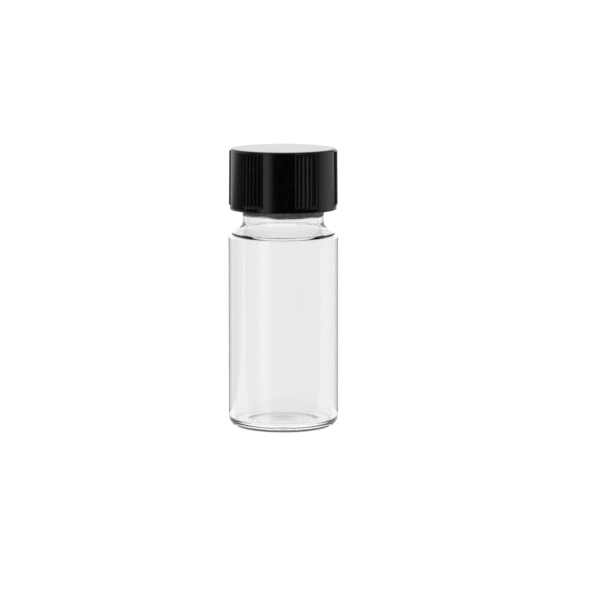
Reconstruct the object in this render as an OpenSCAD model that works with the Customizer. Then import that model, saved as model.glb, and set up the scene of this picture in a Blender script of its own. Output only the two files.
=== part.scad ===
// Screw-top sample vial: a clear glass body, a moulded screw cap with grip ribs, and a cone liner
// that seals in the mouth. Sizes are in millimetres and angles in degrees.
// The axis is Z. The vial stands on z = 0 with its cap screwed down.

/* [Glass body] */
// Outside diameter of the body
body_d = 21; // [20:0.5:26]
// Height of the glass, from the base to the lip
glass_h = 51.5; // [40:0.5:65]
// Thickness of the body's wall
wall_t = 1; // [0.8:0.05:1.3]
// Thickness of the glass at the middle of the base
base_t = 0.9; // [0.7:0.05:1.6]
// Height of the push-up under the base
push_up = 0.7; // [0.4:0.05:1]
// Radius of the heel, where the wall turns under
heel_r = 2.1; // [1.4:0.1:2.4]
// Width of the flat ring that the vial stands on
foot_w = 1.2; // [0.8:0.1:1.8]
// Angle of the shoulder from the horizontal
shoulder_a = 30; // [25:1:45]
// Radius where the body turns into the shoulder
shoulder_r = 1.4; // [0.8:0.1:1.8]
// Radius of that corner on the inside of the glass
shoulder_in_r = 0.4; // [0.3:0.05:1]
// Thickness of the shoulder's glass
shoulder_t = 1.05; // [0.9:0.05:1.3]

/* [Neck and lip] */
// Outside diameter of the neck, at the root of its thread
neck_d = 15.6; // [13:0.1:18.8]
// Thickness of the neck's glass between the shoulder and the thread
neck_t = 0.9; // [0.7:0.05:1.2]
// Thickness of the glass at the lip
lip_t = 1.6; // [1.3:0.05:2]
// How far the thicker glass shows below the cap
finish_show = 1.4; // [1:0.1:1.8]
// Length over which the thicker glass thins out to the neck
taper_len = 1.7; // [0.8:0.1:2.4]
// Rounding of the lip's edges
lip_r = 0.6; // [0.3:0.05:0.65]
// Length of bare neck between the cap and the flare of the shoulder
neck_show = 2.4; // [2:0.1:5]
// Radius where the neck flares into the shoulder
flare_r = 1.2; // [0.6:0.1:2]

/* [Thread] */
// Rise of the thread in one turn
pitch = 3.175; // [2.9:0.025:3.8]
// Height of the glass thread above the neck
thread_h = 1.05; // [0.85:0.05:1.3]
// Turns of thread on the glass
glass_turns = 1.5; // [1:0.1:1.8]
// Width of the glass thread where it meets the neck
glass_root_w = 2.1; // [1.6:0.05:2.2]
// Width of the glass thread at its crest
glass_crest_w = 0.9; // [0.5:0.05:1.1]
// Distance from the lip to the middle of the glass thread's upper end
thread_drop = 2.2; // [1.8:0.1:2.8]
// Width of the cap thread where it meets the cap's wall
cap_root_w = 1.6; // [1:0.05:1.8]
// Width of the cap thread at its crest
cap_crest_w = 0.6; // [0.4:0.05:0.9]

/* [Cap] */
// Height of the cap
cap_h = 11.7; // [9.7:0.1:14.1]
// Thickness of the cap's wall at its mouth, outside the thread
cap_wall = 1.25; // [1.1:0.05:1.6]
// How much smaller in diameter the cap is at its top than at its mouth
cap_draft = 0.2; // [0:0.05:0.5]
// Thickness of the cap's top
cap_top_t = 1.4; // [1:0.1:2]
// Rounding of the cap's top edge
cap_edge_r = 0.35; // [0.1:0.05:0.6]
// Depth of the wider step inside the cap's mouth
mouth_depth = 1; // [0.6:0.1:1.6]
// Width of that step
mouth_step = 0.55; // [0.3:0.05:0.6]
// Pads in the mouth step, which centre the cap on the thread
pad_count = 8; // [4:1:12]
// Part of the ring that the pads fill
pad_share = 0.76; // [0.5:0.02:0.9]

/* [Grip ribs] */
// Groups of grooves around the cap
rib_groups = 6; // [3:1:8]
// Grooves in each group
group_grooves = 5; // [3:1:6]
// Angle between neighbouring grooves
groove_step = 4.8; // [4:0.1:5.5]
// Radius of a groove
groove_r = 0.34; // [0.24:0.02:0.38]
// Depth of a groove
groove_depth = 0.3; // [0.2:0.02:0.34]
// How far each group stands out of the cap's wall
rib_proud = 0.2; // [0.1:0.02:0.24]
// Plain band between the grooves and the cap's mouth
plain_band = 1; // [0.5:0.1:2]
// Turn of the first group from the front of the vial
first_group = 25.3; // [0:0.1:60]

/* [Cone liner] */
// Thickness of the liner's disc
liner_t = 0.7; // [0.5:0.05:1.2]
// Angle of the sealing cone from the horizontal
cone_a = 35; // [25:1:45]
// Diameter of the boss on the cone, at its root
boss_d = 7; // [5:0.1:7.6]
// Diameter of the boss at its tip
boss_tip_d = 4.9; // [3.5:0.1:5]
// Length of the boss
boss_len = 2.5; // [1.5:0.1:3.5]
// Diameter of the moulding nub on the tip
nub_d = 1.4; // [0.8:0.1:2]
// Height of that nub
nub_h = 0.25; // [0.1:0.05:0.5]

/* [Clearances] */
// Gap between the crest of the glass thread and the cap's wall
root_gap = 0.15; // [0.1:0.01:0.3]
// Gap between the crest of the cap thread and the neck
crest_gap = 0.25; // [0.15:0.01:0.4]
// Gap between the two threads' flanks, along the axis, with the cap screwed down
flank_gap = 0.1; // [0.05:0.01:0.2]
// Gap between the liner and what it seats on, inside the cap and at the lip
seat_gap = 0.05; // [0.03:0.01:0.1]
// Gap around the liner's disc in the cap
disc_gap = 0.15; // [0.05:0.01:0.3]

/* [Hidden] */
$fn = 96;

arc_steps = 5; // straight steps in a quarter of a rounding
groove_sides = 8; // flats around a groove
thread_steps = 48; // steps in one turn of a thread
run_out = 40; // angle over which a thread's end fades into its wall
sink = 0.2; // how deep a thread's root goes into its wall

// Glass, from the axis outwards
body_r = body_d / 2;
body_in_r = body_r - wall_t;
foot_r = body_r - heel_r;
neck_r = neck_d / 2;
neck_in_r = neck_r - neck_t;
bore_r = neck_r - lip_t;
thread_r = neck_r + thread_h;

// Heights, from the lip
disc_z = glass_h + seat_gap;
cap_in_z = disc_z + liner_t + seat_gap;
cap_top_z = cap_in_z + cap_top_t;
cap_z = cap_top_z - cap_h;
flare_z = cap_z - neck_show;
thin_z = cap_z - finish_show;
floor_z = push_up + base_t;

// The shoulder is a straight slope between two roundings that it touches. Both turn through turn_a.
turn_a = 90 - shoulder_a;
slope_top_r = neck_r + flare_r * (1 - cos(turn_a));
slope_top_z = flare_z - flare_r * sin(turn_a);
slope_foot_r = body_r - shoulder_r * (1 - cos(turn_a));
slope_foot_z = slope_top_z - (slope_foot_r - slope_top_r) * tan(shoulder_a);
shoulder_z = slope_foot_z - shoulder_r * sin(turn_a);
in_flare_z = flare_z - (shoulder_t - neck_t) / cos(shoulder_a);
in_top_r = neck_r + flare_r - (flare_r + neck_t) * cos(turn_a);
in_top_z = in_flare_z - (flare_r + neck_t) * sin(turn_a);
in_foot_r = body_in_r - shoulder_in_r * (1 - cos(turn_a));
in_foot_z = in_top_z - (in_foot_r - in_top_r) * tan(shoulder_a);
shoulder_in_z = in_foot_z - shoulder_in_r * sin(turn_a);

// Cap
cap_bore_r = thread_r + root_gap;
cap_crest_r = neck_r + crest_gap;
cap_r = cap_bore_r + cap_wall;
cap_top_r = cap_r - cap_draft / 2;
cap_tilt = atan(cap_draft / 2 / cap_h);
mouth_r = cap_bore_r + mouth_step;
pad_r = cap_bore_r + root_gap;
pad_turn = 360 / pad_count;
groove_z = cap_z + plain_band + rib_proud;
groove_top_z = cap_top_z - cap_edge_r - rib_proud;
group_turn = group_grooves * groove_step;
group_a = first_group - 90; // the front is -Y
plain_a = group_a + 180 / rib_groups; // halfway to the next group

// The cap thread lies under the glass thread by half of each width and the flank gap.
glass_w = width_at(cap_crest_r, neck_r, glass_root_w, thread_r, glass_crest_w);
cap_w = width_at(thread_r, cap_crest_r, cap_crest_w, cap_bore_r, cap_root_w);
thread_shift = max(glass_w + cap_crest_w, cap_w + glass_crest_w) / 2 + flank_gap;
glass_thread_z = glass_h - thread_drop - glass_turns * pitch;
cap_thread_low = cap_z + mouth_depth + cap_root_w / 2;
cap_thread_turns = (disc_z - cap_root_w / 2 - seat_gap - cap_thread_low) / pitch;
cap_thread_turn = (cap_thread_low - glass_thread_z + thread_shift) / pitch * 360;

// Liner
disc_r = cap_bore_r - disc_gap;
lip_reach = lip_r + seat_gap;
cone_r = bore_r + lip_r - (lip_reach - lip_reach * cos(cone_a)) / sin(cone_a);
cone_drop = (cone_r - boss_d / 2) * tan(cone_a);
boss_z = disc_z - cone_drop;
tip_z = boss_z - boss_len;

function width_at(r, r0, w0, r1, w1) = w0 + (w1 - w0) * (r - r0) / (r1 - r0);

function arc(x, y, r, from, to) =
    let (n = max(1, round(arc_steps * abs(to - from) / 90)))
    [for (i = [0:n]) let (a = from + (to - from) * i / n) [x + r * cos(a), y + r * sin(a)]];

// How far a thread's ridge has come out of its wall, a turn of a from one of its ends
function rise(a) = a >= run_out ? 1 : sin(90 * a / run_out);

// A helical ridge on a wall of radius root_r, which winds up from the angle 0 at z = 0. It stands
// out of the wall where crest_r is larger than root_r, and into the bore where it is smaller.
module ridge(root_r, crest_r, root_w, crest_w, turns) {
    out = crest_r > root_r ? 1 : -1;
    steps = round(turns * thread_steps);
    step_a = turns * 360 / steps;
    foot_r = root_r - out * sink;
    foot_w = width_at(foot_r, root_r, root_w, crest_r, crest_w);
    start_r = root_r - out * sink / 4;
    points = [for (i = [0:steps])
        let (a = i * step_a, up = rise(min(a, turns * 360 - a)), top_r = start_r + (crest_r - start_r) * up)
        for (p = [[foot_r, -foot_w], [foot_r, foot_w], [top_r, crest_w], [top_r, -crest_w]])
            [p[0] * cos(a), p[0] * sin(a), pitch * a / 360 + p[1] / 2]];
    sides = [for (i = [0:steps - 1], k = [0:3])
        let (a = 4 * i + k, b = 4 * i + (k + 1) % 4)
        for (f = [[a, b, b + 4], [a, b + 4, a + 4]]) f];
    last = 4 * steps;
    ends = [[0, 2, 1], [0, 3, 2], [last, last + 1, last + 2], [last, last + 2, last + 3]];
    faces = [for (f = concat(sides, ends)) out > 0 ? [f[2], f[1], f[0]] : f];
    polyhedron(points, faces);
}

module vial_outline() {
    outside = concat(
        [[0, push_up], [foot_r - foot_w - push_up, push_up], [foot_r - foot_w, 0]],
        arc(foot_r, heel_r, heel_r, -90, 0),
        arc(body_r - shoulder_r, shoulder_z, shoulder_r, 0, turn_a),
        arc(neck_r + flare_r, flare_z, flare_r, 180 + turn_a, 180),
        arc(neck_r - lip_r, glass_h - lip_r, lip_r, 0, 90)
    );
    floor_r = wall_t / 2;
    inside = concat(
        arc(bore_r + lip_r, glass_h - lip_r, lip_r, 90, 180),
        [[bore_r, thin_z + taper_len], [neck_in_r, thin_z]],
        arc(neck_r + flare_r, in_flare_z, flare_r + neck_t, 180, 180 + turn_a),
        arc(body_in_r - shoulder_in_r, shoulder_in_z, shoulder_in_r, turn_a, 0),
        arc(body_in_r - floor_r, floor_z + floor_r, floor_r, 0, -90),
        [[0, floor_z]]
    );
    polygon(concat(outside, inside));
}

module vial_body() {
    color([0.85, 0.9, 0.9, 0.35]) {
        rotate_extrude() vial_outline();
        translate([0, 0, glass_thread_z]) ridge(neck_r, thread_r, glass_root_w, glass_crest_w, glass_turns);
    }
}

module cap_outline() {
    polygon(concat(
        [[0, cap_top_z]],
        [[0, cap_in_z], [cap_bore_r, cap_in_z], [cap_bore_r, cap_z + mouth_depth]],
        [[mouth_r, cap_z + mouth_depth], [mouth_r, cap_z], [cap_r, cap_z]],
        arc(cap_top_r - cap_edge_r, cap_top_z - cap_edge_r, cap_edge_r, 0, 90)
    ));
}

// One group's raised panel, which follows the draft of the wall
module rib_panel() {
    low = cap_z + plain_band;
    high = cap_top_z - cap_edge_r;
    draft = [for (z = [low, high]) (z - cap_z) * tan(cap_tilt)];
    foot = cap_bore_r + cap_wall / 2;
    rotate(-group_turn / 2) rotate_extrude(angle = group_turn) polygon([
        [foot, low],
        [cap_r - draft[0], low],
        [cap_r + rib_proud - draft[0], low + rib_proud],
        [cap_r + rib_proud - draft[1], high - rib_proud],
        [cap_r - draft[1], high],
        [foot, high]
    ]);
}

// Cuts one groove, a channel of flats that follows the draft of the wall
module groove_cut() {
    centre_r = cap_r + rib_proud - groove_depth + groove_r - (groove_z - cap_z) * tan(cap_tilt);
    translate([centre_r, 0, groove_z]) rotate([0, -cap_tilt, 0])
        cylinder(r = groove_r, h = groove_top_z - groove_z, $fn = groove_sides);
}

module mouth_pad() {
    turn = pad_turn * pad_share;
    low = cap_z + mouth_depth / 4;
    rotate(-turn / 2) rotate_extrude(angle = turn) polygon([
        [pad_r, low + mouth_depth / 4],
        [mouth_r + sink, low],
        [mouth_r + sink, cap_z + mouth_depth + sink],
        [pad_r, cap_z + mouth_depth + sink]
    ]);
}

module cap_shell() {
    color([0.05, 0.05, 0.055]) {
        difference() {
            union() {
                rotate(plain_a) rotate_extrude() cap_outline();
                for (g = [0:rib_groups - 1]) rotate(group_a + g * 360 / rib_groups) rib_panel();
            }
            for (g = [0:rib_groups - 1], i = [0:group_grooves - 1])
                rotate(group_a + g * 360 / rib_groups + (i - (group_grooves - 1) / 2) * groove_step)
                    groove_cut();
        }
        for (i = [0:pad_count - 1]) rotate(plain_a + (i + 0.5) * pad_turn) mouth_pad();
        translate([0, 0, cap_thread_low]) rotate(cap_thread_turn)
            ridge(cap_bore_r, cap_crest_r, cap_root_w, cap_crest_w, cap_thread_turns);
    }
}

module cone_liner() {
    color([0.9, 0.9, 0.88]) rotate_extrude() polygon([
        [0, disc_z + liner_t],
        [0, tip_z - nub_h],
        [nub_d / 2, tip_z - nub_h],
        [nub_d / 2, tip_z],
        [boss_tip_d / 2, tip_z],
        [boss_d / 2, boss_z],
        [cone_r, disc_z],
        [disc_r, disc_z],
        [disc_r, disc_z + liner_t]
    ]);
}

vial_body();
cap_shell();
cone_liner();
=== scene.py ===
import math

import bpy
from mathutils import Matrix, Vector


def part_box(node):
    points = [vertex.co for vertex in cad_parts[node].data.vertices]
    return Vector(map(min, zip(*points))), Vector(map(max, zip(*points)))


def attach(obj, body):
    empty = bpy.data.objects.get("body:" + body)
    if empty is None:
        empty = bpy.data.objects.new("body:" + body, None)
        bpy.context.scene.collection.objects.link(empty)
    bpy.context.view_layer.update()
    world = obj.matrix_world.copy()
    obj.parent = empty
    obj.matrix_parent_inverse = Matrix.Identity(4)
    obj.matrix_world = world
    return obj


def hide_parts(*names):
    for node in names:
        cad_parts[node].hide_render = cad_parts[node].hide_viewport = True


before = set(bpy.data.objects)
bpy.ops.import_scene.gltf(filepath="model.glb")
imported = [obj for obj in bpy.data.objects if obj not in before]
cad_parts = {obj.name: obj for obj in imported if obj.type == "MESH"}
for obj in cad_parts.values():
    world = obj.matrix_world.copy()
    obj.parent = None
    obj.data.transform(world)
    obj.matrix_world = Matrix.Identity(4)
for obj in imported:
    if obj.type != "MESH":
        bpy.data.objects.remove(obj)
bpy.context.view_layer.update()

mm = 0.001
vialBox, capBox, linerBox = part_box("vial_body"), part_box("cap_shell"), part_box("cone_liner")
print("frame loaded:", ", ".join(sorted(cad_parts)))


# A number in a node tree, so that sums on sockets read as sums
class Num:
    def __init__(self, graph, socket):
        self.graph, self.socket = graph, socket

    def math(self, operation, *values, **settings):
        inputs = {i: v for i, v in enumerate(values)}
        return self.graph.node("ShaderNodeMath", {"operation": operation, **settings}, inputs).out()

    def __add__(self, other): return self.math("ADD", self, other)
    def __radd__(self, other): return self.math("ADD", other, self)
    def __sub__(self, other): return self.math("SUBTRACT", self, other)
    def __rsub__(self, other): return self.math("SUBTRACT", other, self)
    def __mul__(self, other): return self.math("MULTIPLY", self, other)
    def __rmul__(self, other): return self.math("MULTIPLY", other, self)
    def __truediv__(self, other): return self.math("DIVIDE", self, other)
    def __rtruediv__(self, other): return self.math("DIVIDE", other, self)
    def __neg__(self): return self.math("MULTIPLY", self, -1)
    def __abs__(self): return self.math("ABSOLUTE", self)
    def __mod__(self, other): return self.math("FLOORED_MODULO", self, other)
    def __lt__(self, other): return self.math("LESS_THAN", self, other)

    def root(self): return self.math("SQRT", self)
    def rounded(self): return self.math("ROUND", self)
    def least(self, other): return self.math("MINIMUM", self, other)
    def most(self, other): return self.math("MAXIMUM", self, other)
    def clamped(self): return self.math("ADD", self, 0, use_clamp=True)

    # 0 to 1 with soft ends, as the value goes from low to high
    def eased(self, low, high):
        t = ((self - low) / (high - low)).clamped()
        return t * t * (3 - 2 * t)


class Placed:
    def __init__(self, graph, item):
        self.graph, self.item = graph, item

    def out(self, name=0):
        return Num(self.graph, self.item.outputs[name])


# A shader or geometry tree that nodes are added to
class Graph:
    def __init__(self, tree):
        self.tree = tree
        tree.nodes.clear()

    def node(self, kind, settings=None, inputs=None):
        item = self.tree.nodes.new(kind)
        for name, value in (settings or {}).items():
            if name == "stops":
                self.setStops(item.color_ramp, value)
            else:
                setattr(item, name, value)
        for name, value in (inputs or {}).items():
            if isinstance(value, Num):
                self.tree.links.new(value.socket, item.inputs[name])
            else:
                item.inputs[name].default_value = value
        return Placed(self, item)

    def setStops(self, ramp, stops):
        while len(ramp.elements) < len(stops):
            ramp.elements.new(1)
        for element, (place, colour) in zip(ramp.elements, stops):
            element.position, element.color = place, colour

    def mixColour(self, factor, first, second):
        return self.node("ShaderNodeMix", {"data_type": "RGBA"}, {0: factor, 6: first, 7: second}).out(2)


def arcRows(centreR, centreZ, radius, start, end, steps, mark=0):
    angles = [math.radians(start + (end - start) * i / steps) for i in range(steps + 1)]
    return [(centreR + radius * math.cos(a), centreZ + radius * math.sin(a), mark) for a in angles]


def lineRows(first, last, steps, mark=0):
    return [(first[0] + (last[0] - first[0]) * i / steps,
             first[1] + (last[1] - first[1]) * i / steps, mark) for i in range(steps + 1)]


def evenAngles(count):
    return [2 * math.pi * i / count for i in range(count)]


# Turns rows of (radius, height, mark) in mm about the axis. The rows start and end on the axis.
def turned(name, rows, angles, wobble=None):
    verts, marks, rings, faces = [], [], [], []
    kept = [rows[0]] + [b for a, b in zip(rows, rows[1:]) if math.dist(a[:2], b[:2]) > 1e-4]
    for radius, height, mark in kept:
        ringAngles = angles if radius > 1e-6 else [0]
        rings.append(range(len(verts), len(verts) + len(ringAngles)))
        for a in ringAngles:
            lift = wobble(a, radius, height) if wobble else 0
            verts.append((radius * math.cos(a) * mm, radius * math.sin(a) * mm, (height + lift) * mm))
            marks.append(mark)
    count = len(angles)
    for low, high in zip(rings, rings[1:]):
        for i in range(count):
            j = (i + 1) % count
            corners = [low[i % len(low)], low[j % len(low)], high[j % len(high)], high[i % len(high)]]
            faces.append(tuple(dict.fromkeys(corners)))
    mesh = bpy.data.meshes.new(name)
    mesh.from_pydata(verts, [], faces)
    mesh.attributes.new("mark", "FLOAT", "POINT").data.foreach_set("value", marks)
    mesh.validate()
    piece = bpy.data.objects.new(name, mesh)
    bpy.context.scene.collection.objects.link(piece)
    return piece


# Each tree moves a turned wall's points in or out by a rule
def newShapeTree(name, sizes):
    tree = bpy.data.node_groups.new(name, "GeometryNodeTree")
    tree.interface.new_socket("Geometry", in_out="INPUT", socket_type="NodeSocketGeometry")
    for label, value in sizes.items():
        socket = tree.interface.new_socket(label, in_out="INPUT", socket_type="NodeSocketFloat")
        socket.default_value = value
    tree.interface.new_socket("Material", in_out="INPUT", socket_type="NodeSocketMaterial")
    tree.interface.new_socket("Geometry", in_out="OUTPUT", socket_type="NodeSocketGeometry")
    graph = Graph(tree)
    given = graph.node("NodeGroupInput")
    position = graph.node("GeometryNodeInputPosition").out()
    split = graph.node("ShaderNodeSeparateXYZ", inputs={0: position})
    x, y, z = (split.out(i) for i in range(3))
    return tree, graph, given, (x, y, z)


# Moves the points marked with a number outwards by rise, in mm, and closes the tree
def finishShapeTree(graph, given, place, rise, markNumber):
    x, y, z = place
    named = graph.node("GeometryNodeInputNamedAttribute", {"data_type": "FLOAT"}, {"Name": "mark"})
    mark = named.out("Attribute")
    chosen = abs(mark - markNumber) < 0.25
    outwards = graph.node("ShaderNodeCombineXYZ", inputs={0: x, 1: y, 2: 0.0}).out()
    unit = graph.node("ShaderNodeVectorMath", {"operation": "NORMALIZE"}, {0: outwards}).out()
    push = graph.node("ShaderNodeVectorMath", {"operation": "SCALE"}, {0: unit, "Scale": rise * chosen * mm})
    moved = graph.node("GeometryNodeSetPosition",
                       inputs={"Geometry": given.out("Geometry"), "Offset": push.out()})
    real = graph.node("GeometryNodeRealizeInstances", inputs={0: moved.out()})
    painted = graph.node("GeometryNodeSetMaterial",
                         inputs={"Geometry": real.out(), "Material": given.out("Material")})
    graph.node("NodeGroupOutput", inputs={0: painted.out()})


# A screw thread: a ridge that climbs one pitch a turn, from its start height and angle
def makeThreadTree():
    tree, graph, given, place = newShapeTree("screwThread", {
        "Pitch": 3.175, "Turns": 1.5, "Start height": 44, "Start angle": 0, "Ridge height": 1,
        "Root width": 2, "Crest width": 0.9, "Fade angle": 40})
    x, y, z = place
    pitch, turns = given.out("Pitch"), given.out("Turns")
    angle = x.math("ARCTAN2", y, x) / (2 * math.pi) - given.out("Start angle") / 360
    height = z / mm - given.out("Start height")
    share = angle % 1
    turn = share + (height / pitch - share).rounded()
    away = abs(height - turn * pitch)
    ridge = 1 - away.eased(given.out("Crest width") / 2, given.out("Root width") / 2)
    fromEnd = turn.least(turns - turn) * 360 / given.out("Fade angle")
    rise = ridge * fromEnd.eased(0, 1) * given.out("Ridge height")
    finishShapeTree(graph, given, place, rise, 1)
    return tree


# Grip grooves in raised groups, spaced evenly round a wall
def makeGripTree():
    tree, graph, given, place = newShapeTree("gripGrooves", {
        "Groups": 6, "First group": 0, "Grooves": 5, "Groove step": 4.8, "Groove radius": 0.3,
        "Groove depth": 0.26, "Low end": 43, "High end": 53, "Wall radius": 10.2, "Panel rise": 0.1,
        "Edge": 0.1})
    x, y, z = place
    turn = 360 / given.out("Groups")
    degrees = x.math("ARCTAN2", y, x) * (180 / math.pi)
    inGroup = (degrees - given.out("First group") + turn / 2) % turn - turn / 2
    step, edge = given.out("Groove step"), given.out("Edge")
    millimetre = given.out("Wall radius") * (math.pi / 180)
    half = (given.out("Grooves") - 1) / 2
    nearest = (inGroup / step + half).rounded().most(0).least(half * 2) - half
    across = (inGroup - nearest * step) * millimetre
    height = z / mm
    low, high = given.out("Low end"), given.out("High end")
    radius = given.out("Groove radius")
    beyond = (low + radius - height).most(height - high + radius).most(0)
    distance = (across * across + beyond * beyond).root()
    groove = 1 - distance.eased(0, radius)
    panelHalf = given.out("Grooves") * step / 2 * millimetre
    panel = 1 - (abs(inGroup) * millimetre).eased(panelHalf - edge, panelHalf + edge)
    panel = panel * height.eased(low - edge * 2, low) * (1 - height.eased(high, high + edge * 2))
    rise = panel * given.out("Panel rise") - groove * given.out("Groove depth")
    finishShapeTree(graph, given, place, rise, 2)
    return tree


# Pads that stand in from a wall, spaced evenly round it
def makePadTree():
    tree, graph, given, place = newShapeTree("ringOfPads", {
        "Pads": 8, "First pad": 0, "Share": 0.76, "Pad rise": 0.4, "Edge angle": 2})
    x, y, z = place
    turn = 360 / given.out("Pads")
    degrees = x.math("ARCTAN2", y, x) * (180 / math.pi)
    away = abs((degrees - given.out("First pad") + turn / 2) % turn - turn / 2)
    half = turn * given.out("Share") / 2
    rise = (1 - away.eased(half - given.out("Edge angle"), half)) * -given.out("Pad rise")
    finishShapeTree(graph, given, place, rise, 3)
    return tree


def applyTree(piece, tree, sizes, material):
    modifier = piece.modifiers.new(tree.name, "NODES")
    modifier.node_group = tree
    for socket in tree.interface.items_tree:
        if socket.in_out == "INPUT" and socket.name in sizes:
            modifier[socket.identifier] = float(sizes[socket.name])
        elif socket.in_out == "INPUT" and socket.name == "Material":
            modifier[socket.identifier] = material


# Turns a piece with live modifiers into a plain mesh
def settle(piece, material):
    seen = piece.evaluated_get(bpy.context.evaluated_depsgraph_get())
    mesh = bpy.data.meshes.new_from_object(seen)
    piece.modifiers.clear()
    piece.data = mesh
    mesh.materials.clear()
    mesh.materials.append(material)
    mesh.polygons.foreach_set("use_smooth", [True] * len(mesh.polygons))
    mesh.update()


def finishPiece(piece, body, node):
    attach(piece, body)
    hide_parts(node)
    print(piece.name, "made with", len(piece.data.polygons), "faces")


def newMaterial(name):
    material = bpy.data.materials.new(name)
    material.use_nodes = True
    graph = Graph(material.node_tree)
    coords = graph.node("ShaderNodeTexCoord").out("Object")
    return material, graph, coords


def finishMaterial(graph, inputs):
    shader = graph.node("ShaderNodeBsdfPrincipled", inputs=inputs)
    graph.node("ShaderNodeOutputMaterial", inputs={0: shader.out()})


def noise(graph, coords, scale, detail=3.0, stretch=(1, 1, 1)):
    laid = graph.node("ShaderNodeMapping", inputs={"Vector": coords, "Scale": stretch}).out()
    cloud = graph.node("ShaderNodeTexNoise", inputs={"Vector": laid, "Scale": scale, "Detail": detail})
    return cloud.out(0)


def bump(graph, height, distance, strength=1.0):
    raised = graph.node("ShaderNodeBump",
                        inputs={"Height": height, "Distance": distance, "Strength": strength})
    return raised.out()


def makeTubeGlass():
    # The darkest grey here is painted shade for the tube's dark edges, laid on where the glass is seen
    # edge-on
    look = {"clear": (0.92, 0.92, 0.92, 1), "tinted": (0.89, 0.89, 0.89, 1), "paintedEdgeShade": (0.83, 0.83, 0.83, 1),
            "ior": 1.49, "mouldedHaze": 0.03, "chillHaze": 0.27, "wave": 0.004 * mm}
    material, graph, coords = newMaterial("clearTubeGlass")
    streaks = noise(graph, coords, 260, 2, (1, 1, 0.12))  # drawn lines along the tube
    height = graph.node("ShaderNodeSeparateXYZ", inputs={0: coords}).out(2)
    edge = capBox[0][2] - vial["finishShow"] * mm
    moulded = height.eased(edge - 0.1 * mm, edge + 0.5 * mm)  # the thread's glass is pressed, not drawn
    chilled = moulded * (1 - height.eased(edge + 1.6 * mm, edge + 2.4 * mm))  # frosty where the mould ended
    facing = graph.node("ShaderNodeLayerWeight", inputs={"Blend": 0.5}).out("Facing")
    tint = graph.mixColour(streaks, look["clear"], look["tinted"])
    finishMaterial(graph, {
        "Base Color": graph.mixColour(facing.eased(0.3, 0.95), tint, look["paintedEdgeShade"]),  # painted shade: the colour deepens at the sides, where the glass edges look dark
        "Roughness": moulded * look["mouldedHaze"] + chilled * look["chillHaze"],
        "Normal": bump(graph, streaks, look["wave"], 0.1),
        "Transmission Weight": 1.0,
        "IOR": look["ior"],
    })
    return material


def makePhenolic():
    look = {"black": (0.0008, 0.0008, 0.001, 1), "grey": (0.003, 0.003, 0.0034, 1),
            "polish": 0.08, "matt": 0.2, "wallShare": 0.8}
    material, graph, coords = newMaterial("glossyBlackPhenolic")
    mottle = noise(graph, coords, 700, 4)
    clouds = noise(graph, coords, 130, 3)
    flow = noise(graph, coords, 320, 2, (1, 1, 0.12))  # faint flow lines up the wall
    height = graph.node("ShaderNodeSeparateXYZ", inputs={0: coords}).out(2)
    top = capBox[1][2]
    onWall = 1 - height.eased(top - 0.4 * mm, top - 0.05 * mm)  # the top is polished, the wall is duller
    dull = onWall * look["wallShare"] + clouds.eased(0.3, 0.7) * (1 - look["wallShare"])
    finishMaterial(graph, {
        "Base Color": graph.mixColour(mottle.eased(0.35, 0.75), look["black"], look["grey"]),
        "Roughness": look["polish"] + dull * (look["matt"] - look["polish"]),
        "Normal": bump(graph, mottle * 0.5 + flow, 0.004 * mm, 0.5),
        "IOR": 1.5,
        "Specular IOR Level": 0.3,
    })
    return material


def makePolyethylene():
    look = {"milky": (0.86, 0.87, 0.86, 1), "clear": (0.95, 0.955, 0.95, 1)}
    material, graph, coords = newMaterial("naturalPolyethylene")
    cloud = noise(graph, coords, 420, 3)
    grain = noise(graph, coords, 2600, 2)
    finishMaterial(graph, {
        "Base Color": graph.mixColour(cloud, look["milky"], look["clear"]),
        "Roughness": 0.3 + cloud * 0.16,
        "Normal": bump(graph, grain, 0.008 * mm, 0.5),
        "Transmission Weight": 0.55,
        "IOR": 1.5,
        "Subsurface Weight": 0.35,
        "Subsurface Radius": (0.9, 0.9, 0.85),
        "Subsurface Scale": 0.001,
    })
    return material


studio = {
    "cameraBack": 0.720,
    "cameraHeight": 0.117,
    "aim": (0.0032, 0, 0.0244),
    "lens": 226.6,
    "floorHalf": 7, "nearFloor": 0.015, "farFloor": 0.36, "floorDrop": 0.02 * mm,
    "floorGlow": 0.98,
    "floorShade": (0.07, 0.07, 0.07, 1), "floorLight": (0.09, 0.09, 0.09, 1),
    "softboxes": [(-40, 0.5, 1.4), (108, 0.95, 0.95)],  # angle from the camera, width, brightness
    "softboxHalfHeight": 0.5, "softboxAway": 0.8,
    "overheadSize": 1.4, "overheadEnergy": 9, "overheadPlace": (0, 0.1, 1.3),
    # Share of the way from straight down to straight up, and the sky's grey there
    "sky": [(0.0, 0.0), (0.49, 0.02), (0.515, 1.0), (0.57, 0.9), (0.64, 0.66), (1.0, 0.5)],
    "skyFront": 0.15, "skyBehind": 1.2,
}


def makeCamera():
    camera = bpy.data.objects.new("camera", bpy.data.cameras.new("camera"))
    bpy.context.scene.collection.objects.link(camera)
    camera.location = (0, -studio["cameraBack"], studio["cameraHeight"])
    camera.rotation_euler = (Vector(studio["aim"]) - camera.location).to_track_quat("-Z", "Y").to_euler()
    camera.data.lens = studio["lens"]
    camera.data.clip_start, camera.data.clip_end = 0.01, 100
    bpy.context.scene.camera = camera


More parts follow.
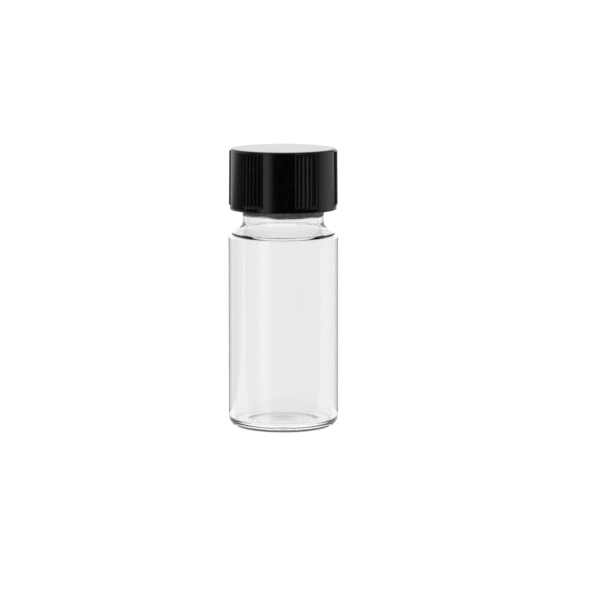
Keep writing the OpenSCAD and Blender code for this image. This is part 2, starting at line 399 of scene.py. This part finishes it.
# The floor lies in strips from front to back. The cap and the glass mirror only some of them.
def makeFloor():
    material, graph, coords = newMaterial("paleFloor")
    grain = noise(graph, coords, 60, 3)
    finishMaterial(graph, {
        "Base Color": graph.mixColour(grain, studio["floorShade"], studio["floorLight"]),
        "Roughness": 0.9,
        "Specular IOR Level": 0.0,
        "Emission Color": (1, 1, 1, 1),
        "Emission Strength": studio["floorGlow"],
    })
    half, level = studio["floorHalf"], -studio["floorDrop"]
    edges = [-half, -studio["nearFloor"], studio["nearFloor"], studio["farFloor"], half]
    for i, (front, back) in enumerate(zip(edges, edges[1:])):
        mesh = bpy.data.meshes.new(f"floor{i}")
        corners = [(-half, front, level), (half, front, level), (half, back, level), (-half, back, level)]
        mesh.from_pydata(corners, [], [(0, 1, 2, 3)])
        mesh.materials.append(material)
        strip = bpy.data.objects.new(f"floor{i}", mesh)
        bpy.context.scene.collection.objects.link(strip)
        strip.visible_glossy = i % 2 == 1


# A softbox that fades towards its sides, so its mirror image has soft edges
def makeSoftbox(name, angle, width, brightness):
    half, tall, away = width / 2, studio["softboxHalfHeight"], studio["softboxAway"]
    mesh = bpy.data.meshes.new(name)
    corners = [(-half, 0, -tall), (half, 0, -tall), (half, 0, tall), (-half, 0, tall)]
    mesh.from_pydata(corners, [], [(0, 1, 2, 3)])
    material, graph, coords = newMaterial(name)
    across = graph.node("ShaderNodeSeparateXYZ", inputs={0: coords}).out(0) / half
    fade = (1 - across * across).most(0)
    glow = graph.node("ShaderNodeCombineColor", inputs={i: fade for i in range(3)}).out()
    finishMaterial(graph, {"Base Color": (0, 0, 0, 1), "Specular IOR Level": 0.0,
                           "Emission Color": glow, "Emission Strength": brightness})
    mesh.materials.append(material)
    softbox = bpy.data.objects.new(name, mesh)
    bpy.context.scene.collection.objects.link(softbox)
    a = math.radians(angle)
    softbox.location = (math.sin(a) * away, -math.cos(a) * away, 0)
    softbox.rotation_euler = (0, 0, a)
    softbox.visible_camera = softbox.visible_transmission = False


def makeOverhead():
    lamp = bpy.data.lights.new("overhead", "AREA")
    lamp.shape = "SQUARE"
    lamp.size, lamp.energy = studio["overheadSize"], studio["overheadEnergy"]
    light = bpy.data.objects.new("overhead", lamp)
    bpy.context.scene.collection.objects.link(light)
    light.location = studio["overheadPlace"]
    light.visible_camera = False


def makeLights():
    makeOverhead()
    for i, (angle, width, brightness) in enumerate(studio["softboxes"]):
        makeSoftbox(f"softbox{i}", angle, width, brightness)
    world = bpy.data.worlds.new("studioWorld")
    bpy.context.scene.world = world
    world.use_nodes = True
    graph = Graph(world.node_tree)
    direction = graph.node("ShaderNodeTexCoord").out("Generated")
    split = graph.node("ShaderNodeSeparateXYZ", inputs={0: direction})
    behind, up = split.out(1).eased(-0.2, 0.4), split.out(2)
    stops = [(place, (grey, grey, grey, 1)) for place, grey in studio["sky"]]
    ramp = graph.node("ShaderNodeValToRGB", {"stops": stops}, {0: up * 0.5 + 0.5})
    strength = studio["skyFront"] + behind * studio["skyBehind"]
    shade = graph.node("ShaderNodeBackground", inputs={"Color": ramp.out(), "Strength": strength})
    graph.node("ShaderNodeOutputWorld", inputs={0: shade.out()})
    bpy.context.scene.view_settings.view_transform = "Standard"


makeCamera()
makeFloor()
makeLights()
print("camera, floor and lights placed")


vial = {
    "columns": 240,
    "heel": 2.1, "foot": 1.2, "pushUp": 0.7, "pushUpSlope": 1.5, "floorGlass": 0.9,
    "wall": 1.0, "neckRadius": 7.8, "neckWall": 0.9, "lipWall": 1.6, "lipRounding": 0.6,
    "finishShow": 1.4, "taper": 1.7, "neckShow": 2.4, "flare": 1.2,
    "shoulderAngle": 30, "shoulder": 1.4, "shoulderGlass": 1.05, "innerShoulder": 0.4,
    "floorRounding": 0.5, "ringRadius": 2.4, "ringRise": 0.022, "ringSpacing": 5.2,
    "edgeWaves": [(2, 0.16, 0.6), (5, 0.1, 0), (9, 0.05, 2)],  # times round, height, start in radians
    "threadTurns": 1.5, "threadDrop": 2.2, "pitch": 3.175,
    "threadRise": 1.03, "rootWidth": 2.0, "crestWidth": 0.7, "threadFade": 40,
}


# Small rings left in the middle of the base by the moulding pin
def baseRipple(radius):
    inside = math.exp(-(radius / vial["ringRadius"]) ** 2)
    return vial["ringRise"] * inside * math.cos(radius * vial["ringSpacing"])


# The thick finish ends in a slightly uneven edge
def finishWobble(angle, radius, height):
    edge = capBox[0][2] / mm - vial["finishShow"] + vial["taper"] / 2
    if radius > vial["neckRadius"] - vial["neckWall"] + 0.01 or abs(height - edge) > 2:
        return 0
    near = math.cos((height - edge) / 2 * math.pi / 2) ** 2
    return near * sum(rise * math.sin(times * angle + start) for times, rise, start in vial["edgeWaves"])


def vialRows():
    v = vial
    bodyR, lip = vialBox[1][0] / mm, vialBox[1][2] / mm
    capZ = capBox[0][2] / mm
    inR, neckIn, boreR = bodyR - v["wall"], v["neckRadius"] - v["neckWall"], v["neckRadius"] - v["lipWall"]
    flareZ = capZ - v["neckShow"]
    footR = bodyR - v["heel"]
    turn = 90 - v["shoulderAngle"]
    t = math.radians(turn)
    cosT, sinT, fall = math.cos(t), math.sin(t), 1 / math.tan(t)
    slopeTopR = v["neckRadius"] + v["flare"] * (1 - cosT)
    slopeTopZ = flareZ - v["flare"] * sinT
    slopeFootR = bodyR - v["shoulder"] * (1 - cosT)
    shoulderZ = slopeTopZ - (slopeFootR - slopeTopR) * fall - v["shoulder"] * sinT
    floorZ = v["pushUp"] + v["floorGlass"]
    innerFoot = footR - v["foot"]
    pushR = innerFoot - v["pushUpSlope"]
    r = v["lipRounding"]
    under = [(pushR * i / 40, v["pushUp"] + baseRipple(pushR * i / 40), 0) for i in range(41)]
    slope = [(pushR + (innerFoot - pushR) * i / 10, v["pushUp"] * (0.5 + 0.5 * math.cos(math.pi * i / 10)), 0)
             for i in range(1, 11)]
    outside = arcRows(footR, v["heel"], v["heel"], -90, 0, 14)
    outside += lineRows((bodyR, v["heel"]), (bodyR, shoulderZ), 12)
    outside += arcRows(bodyR - v["shoulder"], shoulderZ, v["shoulder"], 0, turn, 12)
    outside += arcRows(v["neckRadius"] + v["flare"], flareZ, v["flare"], 180 + turn, 180, 12)
    outside += lineRows((v["neckRadius"], flareZ), (v["neckRadius"], capZ), 6)
    outside += lineRows((v["neckRadius"], capZ), (v["neckRadius"], lip - r), 96, 1)
    outside += arcRows(v["neckRadius"] - r, lip - r, r, 0, 90, 8)
    inside = arcRows(boreR + r, lip - r, r, 90, 180, 8)
    thick = capZ - v["finishShow"] + v["taper"]
    inside += lineRows((boreR, lip - r), (boreR, thick), 10)
    for i in range(13):
        share = 0.5 + 0.5 * math.cos(math.pi * i / 12)
        inside.append((neckIn + (boreR - neckIn) * share, thick - v["taper"] * i / 12, 0))
    inFlareZ = flareZ - (v["shoulderGlass"] - v["neckWall"]) / sinT
    inside += lineRows((neckIn, thick - v["taper"]), (neckIn, inFlareZ), 4)
    inFlare = v["flare"] + v["neckWall"]
    inside += arcRows(v["neckRadius"] + v["flare"], inFlareZ, inFlare, 180, 180 + turn, 12)
    slopeR, slopeZ = inside[-1][:2]
    s = v["innerShoulder"]
    innerZ = slopeZ - (inR - s * (1 - cosT) - slopeR) * fall - s * sinT
    inside += arcRows(inR - s, innerZ, s, turn, 0, 12)
    fr = v["floorRounding"]
    inside += lineRows((inR, innerZ), (inR, floorZ + fr), 12)
    inside += arcRows(inR - fr, floorZ + fr, fr, 0, -90, 10)
    floorR = inR - fr
    for i in range(1, 61):
        radius = floorR * (1 - i / 60)
        inside.append((radius, floorZ - 0.6 * baseRipple(radius), 0))
    return under + slope + outside + inside


def makeVial():
    glass = makeTubeGlass()
    piece = turned("glass_vial", vialRows(), evenAngles(vial["columns"]), finishWobble)
    lip = vialBox[1][2] / mm
    applyTree(piece, makeThreadTree(), {
        "Pitch": vial["pitch"], "Turns": vial["threadTurns"],
        "Start height": lip - vial["threadDrop"] - vial["threadTurns"] * vial["pitch"],
        "Start angle": 0, "Ridge height": vial["threadRise"], "Root width": vial["rootWidth"],
        "Crest width": vial["crestWidth"], "Fade angle": vial["threadFade"]}, glass)
    settle(piece, glass)
    finishPiece(piece, "vial", "vial_body")


makeVial()


cap = {
    "draft": 0.1, "wall": 1.25, "topThickness": 1.4, "edge": 0.35, "corner": 0.15,
    "mouthDepth": 1.0, "mouthStep": 0.55,
    "groups": 6, "firstGroup": 25.3, "grooves": 5, "grooveStep": 4.8, "grooveRadius": 0.43,
    "fineSteps": 12, "coarseSteps": 22,  # columns in a groove's step, and between groups
    "rowStep": 0.05,
    "grooveDepth": 0.34, "panelRise": 0.2, "plainBand": 1.0,
    "pads": 8, "padsFromGroup": 52.5, "padShare": 0.76, "padRise": 0.4,
    "threadRise": 0.93, "rootWidth": 1.6, "crestWidth": 0.5, "threadFade": 40,
    "threadBelow": 1.307,  # how far this thread lies under the glass thread
    "aboveThread": 0.75,  # the liner's disc and the gap under it
}


# More columns where the grooves are
def capAngles():
    step = cap["grooveStep"] / cap["fineSteps"]
    half = (cap["grooves"] / 2 + 0.2) * cap["grooveStep"]
    fineCount = round(2 * half / step)
    turn = 360 / cap["groups"]
    plain = turn - 2 * half
    angles = []
    for g in range(cap["groups"]):
        start = cap["firstGroup"] - 90 + g * turn - half
        angles += [start + step * i for i in range(fineCount)]
        angles += [start + 2 * half + plain * i / cap["coarseSteps"] for i in range(cap["coarseSteps"])]
    return [math.radians(a) for a in angles]


def capRows():
    c = cap
    low, top = capBox[0][2] / mm, capBox[1][2] / mm
    wallR = capBox[1][1] / mm
    boreR = wallR - c["wall"]
    topR = wallR - c["draft"]
    inTop = top - c["topThickness"]
    mouthR = boreR + c["mouthStep"]
    e, k = c["edge"], c["corner"]
    step = low + c["mouthDepth"]

    def flank(height):
        return wallR - c["draft"] * (height - low) / (top - low)

    # Rows crowd together at both ends of the grooves
    bandLow, bandHigh = low + c["plainBand"], top - e
    fineFrom, fineTo, highFrom = bandLow - 0.25, bandLow + 0.5, bandHigh - 0.6
    ends = [fineFrom + c["rowStep"] * i for i in range(16)] + [highFrom + c["rowStep"] * i for i in range(13)]
    middle = [fineTo + (highFrom - fineTo) * i / 8 for i in range(1, 8)]
    heights = sorted([low + k, low + 0.4] + ends + middle)
    rows = [(0, inTop, 0)]
    rows += lineRows((boreR * 0.2, inTop), (boreR - k, inTop), 4)
    rows += arcRows(boreR - k, inTop - k, k, 90, 0, 4)
    rows += lineRows((boreR, inTop - k), (boreR, step + k), 84, 1)
    rows += [(boreR + k * 0.3, step + k * 0.3, 0), (boreR + k, step, 0)]
    rows += lineRows((boreR + k, step), (mouthR - k, step), 2)
    rows += [(mouthR, step - k, 3), (mouthR, step - 0.5, 3), (mouthR, low + 0.34, 3)]
    rows += [(mouthR, low + 0.26, 0), (mouthR, low + k, 0)]
    rows += arcRows(mouthR + k, low + k, k, 180, 270, 4)
    rows += arcRows(flank(low) - k, low + k, k, 270, 360, 4)
    rows += [(flank(h), h, 2) for h in heights if h < top - e - 1e-6]
    rows += arcRows(topR - e, top - e, e, 0, 90, 8)
    rows += lineRows((topR - e, top), (0, top), 12)
    return rows


def makeCap():
    black = makePhenolic()
    piece = turned("screw_cap", capRows(), capAngles())
    low, top = capBox[0][2] / mm, capBox[1][2] / mm
    wallR = capBox[1][1] / mm
    applyTree(piece, makeGripTree(), {
        "Groups": cap["groups"], "First group": cap["firstGroup"] - 90, "Grooves": cap["grooves"],
        "Groove step": cap["grooveStep"], "Groove radius": cap["grooveRadius"],
        "Groove depth": cap["grooveDepth"], "Low end": low + cap["plainBand"], "High end": top - cap["edge"],
        "Wall radius": wallR, "Panel rise": cap["panelRise"], "Edge": 0.08}, black)
    # The cap's thread sits just under the glass thread and climbs with it
    pitch = vial["pitch"]
    glassStart = vialBox[1][2] / mm - vial["threadDrop"] - vial["threadTurns"] * pitch
    start = low + cap["mouthDepth"] + cap["rootWidth"] / 2
    turns = (linerBox[1][2] / mm - cap["aboveThread"] - cap["rootWidth"] / 2 - start) / pitch
    applyTree(piece, bpy.data.node_groups["screwThread"], {
        "Pitch": pitch, "Turns": turns, "Start height": start,
        "Start angle": (start - glassStart + cap["threadBelow"]) / pitch * 360,
        "Ridge height": -cap["threadRise"], "Root width": cap["rootWidth"],
        "Crest width": cap["crestWidth"], "Fade angle": cap["threadFade"]}, black)
    applyTree(piece, makePadTree(), {
        "Pads": cap["pads"], "First pad": cap["firstGroup"] - 90 + cap["padsFromGroup"],
        "Share": cap["padShare"], "Pad rise": cap["padRise"], "Edge angle": 2}, black)
    settle(piece, black)
    finishPiece(piece, "cap", "cap_shell")


makeCap()


liner = {
    "columns": 160,
    "disc": 0.7, "coneRadius": 6.595,
    "bossRoot": 3.5, "bossTip": 2.45, "bossLength": 2.5,
    "nubRadius": 0.7, "nubHeight": 0.25, "rounding": 0.12,
}


def makeLiner():
    p = liner
    top, tip = linerBox[1][2] / mm, linerBox[0][2] / mm
    discR, discZ = linerBox[1][0] / mm, top - p["disc"]
    k = p["rounding"]
    bossZ = tip + p["nubHeight"] + p["bossLength"]
    rows = [(0, tip, 0), (p["nubRadius"] * 0.6, tip, 0)]
    rows += arcRows(p["nubRadius"] - k, tip + k, k, 270, 360, 4)
    tipZ = tip + p["nubHeight"]
    rows += [(p["nubRadius"], tipZ - 0.03, 0), (p["nubRadius"] + 0.05, tipZ, 0)]
    rows += lineRows((p["nubRadius"] + 0.2, tipZ), (p["bossTip"] - 0.25, tipZ), 3)
    rows += arcRows(p["bossTip"] - 0.22, tipZ + 0.22, 0.22, 270, 350, 5)
    rows += lineRows((p["bossTip"] + 0.02, tipZ + 0.3), (p["bossRoot"] - 0.1, bossZ - 0.25), 5)
    rows += [(p["bossRoot"] + 0.02, bossZ - 0.08, 0), (p["bossRoot"] + 0.18, bossZ + 0.12, 0)]
    rows += lineRows((p["bossRoot"] + 0.4, bossZ + 0.28), (p["coneRadius"] - 0.2, discZ - 0.14), 8)
    rows += [(p["coneRadius"] + 0.05, discZ - 0.02, 0), (p["coneRadius"] + 0.3, discZ, 0)]
    rows += lineRows((p["coneRadius"] + 0.5, discZ), (discR - k, discZ), 5)
    rows += arcRows(discR - k, discZ + k, k, 270, 360, 4)
    rows += arcRows(discR - k, top - k, k, 0, 90, 4)
    rows += lineRows((discR - k, top), (0, top), 6)
    milky = makePolyethylene()
    piece = turned("cone_seal", rows, evenAngles(p["columns"]))
    settle(piece, milky)
    finishPiece(piece, "liner", "cone_liner")


makeLiner()
